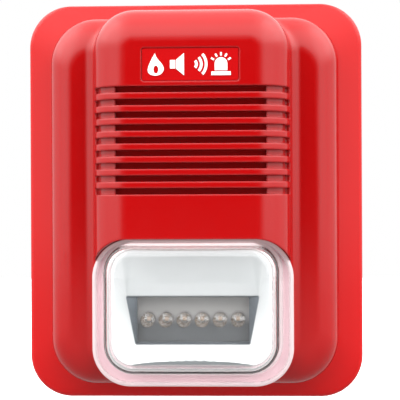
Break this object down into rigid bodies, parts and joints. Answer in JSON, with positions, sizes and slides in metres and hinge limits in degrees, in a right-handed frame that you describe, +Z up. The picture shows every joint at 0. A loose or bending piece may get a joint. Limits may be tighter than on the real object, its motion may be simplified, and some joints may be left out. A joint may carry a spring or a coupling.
{
  "type": "horn strobe",
  "caption": "Wall-mounted fire-alarm horn strobe: glossy red hinged cover with louvred sounder over a clear domed LED strobe lens, on a mounting plate.",
  "frame": {"origin": "centre of the back face of the mounting plate, on the wall plane", "axes": "+Z up, -Y out of the wall towards the viewer, +X to the right as seen from the front"},
  "size_m": [0.1192, 0.0485, 0.1406],
  "materials": {
    "red_housing": "moulded ABS, glossy, with a faint orange peel",
    "red_label": "glossy printed polycarbonate film",
    "label_white": "raised white ink",
    "silicone": "satin silicone",
    "clear_lens": "polished clear polycarbonate",
    "reflector_coat": "bright satin coating on moulded plastic",
    "white_laminate": "satin solder mask",
    "green_laminate": "satin solder mask",
    "clear_epoxy": "water-clear epoxy",
    "tinned_metal": "bright tin",
    "chip_black": "matt moulded epoxy",
    "sounder_black": "fine-textured moulding",
    "brass_disc": "rolled sheet",
    "ceramic_grey": "fired silver on ceramic",
    "foam_black": "open-cell foam",
    "capacitor_sleeve": "shrunk sleeve",
    "ferrite": "ground ferrite",
    "copper_winding": "enamelled copper wire",
    "resistor_glaze": "glazed body",
    "header_white": "moulded nylon",
    "wire_red": "extruded insulation",
    "wire_black": "extruded insulation",
    "terminal_green": "moulded nylon",
    "switch_blue": "moulded nylon",
    "screw_steel": "bright zinc"
  },
  "bodies": {
    "plate": {"mounting_plate": "red_housing"},
    "cover": {"board_screws": "screw_steel", "capacitors": "capacitor_sleeve", "controller_chip": "chip_black", "diodes": "chip_black", "front_cover": "red_housing", "inductor_core": "ferrite", "inductor_winding": "copper_winding", "label_plate": "red_label", "label_symbols": "label_white", "led_board": "white_laminate", "led_board_screws": "screw_steel", "led_leads": "tinned_metal", "led_resistors": "chip_black", "led_wires": "wire_red", "lens_gasket": "silicone", "main_board": "green_laminate", "piezo_ceramic": "ceramic_grey", "piezo_disc": "brass_disc", "power_transistor": "chip_black", "reflector": "reflector_coat", "reflector_screws": "screw_steel", "resistors": "resistor_glaze", "setting_switch": "switch_blue", "sound_baffle": "red_housing", "sounder_case": "sounder_black", "sounder_foam": "foam_black", "sounder_ring": "sounder_black", "sounder_screws": "screw_steel", "sounder_wires": "wire_black", "strobe_leds": "clear_epoxy", "strobe_lens": "clear_lens", "terminal_block": "terminal_green", "terminal_pins": "tinned_metal", "wire_headers": "header_white"},
    "lock_screw": {"lock_screw": "screw_steel", "lock_clip": "screw_steel"},
    "lock_nut": {"lock_nut": "screw_steel"},
    "terminal_screw_1": {"terminal_screw_1": "screw_steel"},
    "terminal_cage_1": {"terminal_cage_1": "screw_steel"},
    "terminal_screw_2": {"terminal_screw_2": "screw_steel"},
    "terminal_cage_2": {"terminal_cage_2": "screw_steel"},
    "terminal_screw_3": {"terminal_screw_3": "screw_steel"},
    "terminal_cage_3": {"terminal_cage_3": "screw_steel"},
    "terminal_screw_4": {"terminal_screw_4": "screw_steel"},
    "terminal_cage_4": {"terminal_cage_4": "screw_steel"},
    "switch_slider_1": {"switch_slider_1": "header_white"},
    "switch_slider_2": {"switch_slider_2": "header_white"}
  },
  "joints": [
    {"name": "cover_swing", "type": "hinge", "parent": "plate", "child": "cover", "pos_m": [0, -0.0093, 0.0632], "axis": [-1, 0, 0], "range_deg": [0, 75]},
    {"name": "lock_screw_turn", "type": "hinge", "parent": "cover", "child": "lock_screw", "pos_m": [0, -0.014, -0.062], "axis": [0, 0, -1], "range_deg": [0, 1080]},
    {"name": "lock_nut_rise", "type": "slide", "parent": "cover", "child": "lock_nut", "axis": [0, 0, 1], "range_m": [0, 0.0015]},
    {"name": "terminal_screw_1_turn", "type": "hinge", "parent": "cover", "child": "terminal_screw_1", "pos_m": [-0.00762, -0.005, -0.022], "axis": [0, 1, 0], "range_deg": [0, 1008]},
    {"name": "terminal_cage_1_travel", "type": "slide", "parent": "cover", "child": "terminal_cage_1", "axis": [0, -1, 0], "range_m": [0, 0.0014]},
    {"name": "terminal_screw_2_turn", "type": "hinge", "parent": "cover", "child": "terminal_screw_2", "pos_m": [-0.00254, -0.005, -0.022], "axis": [0, 1, 0], "range_deg": [0, 1008]},
    {"name": "terminal_cage_2_travel", "type": "slide", "parent": "cover", "child": "terminal_cage_2", "axis": [0, -1, 0], "range_m": [0, 0.0014]},
    {"name": "terminal_screw_3_turn", "type": "hinge", "parent": "cover", "child": "terminal_screw_3", "pos_m": [0.00254, -0.005, -0.022], "axis": [0, 1, 0], "range_deg": [0, 1008]},
    {"name": "terminal_cage_3_travel", "type": "slide", "parent": "cover", "child": "terminal_cage_3", "axis": [0, -1, 0], "range_m": [0, 0.0014]},
    {"name": "terminal_screw_4_turn", "type": "hinge", "parent": "cover", "child": "terminal_screw_4", "pos_m": [0.00762, -0.005, -0.022], "axis": [0, 1, 0], "range_deg": [0, 1008]},
    {"name": "terminal_cage_4_travel", "type": "slide", "parent": "cover", "child": "terminal_cage_4", "axis": [0, -1, 0], "range_m": [0, 0.0014]},
    {"name": "switch_slider_1_travel", "type": "slide", "parent": "cover", "child": "switch_slider_1", "axis": [0, 0, 1], "range_m": [0, 0.0015]},
    {"name": "switch_slider_2_travel", "type": "slide", "parent": "cover", "child": "switch_slider_2", "axis": [0, 0, 1], "range_m": [0, 0.0015]}
  ],
  "couplings": [
    {"joint": "lock_screw_turn", "follows": "lock_nut_rise", "rad_per_m": 12566},
    {"joint": "terminal_screw_1_turn", "follows": "terminal_cage_1_travel", "rad_per_m": 12566},
    {"joint": "terminal_screw_2_turn", "follows": "terminal_cage_2_travel", "rad_per_m": 12566},
    {"joint": "terminal_screw_3_turn", "follows": "terminal_cage_3_travel", "rad_per_m": 12566},
    {"joint": "terminal_screw_4_turn", "follows": "terminal_cage_4_travel", "rad_per_m": 12566}
  ]
}
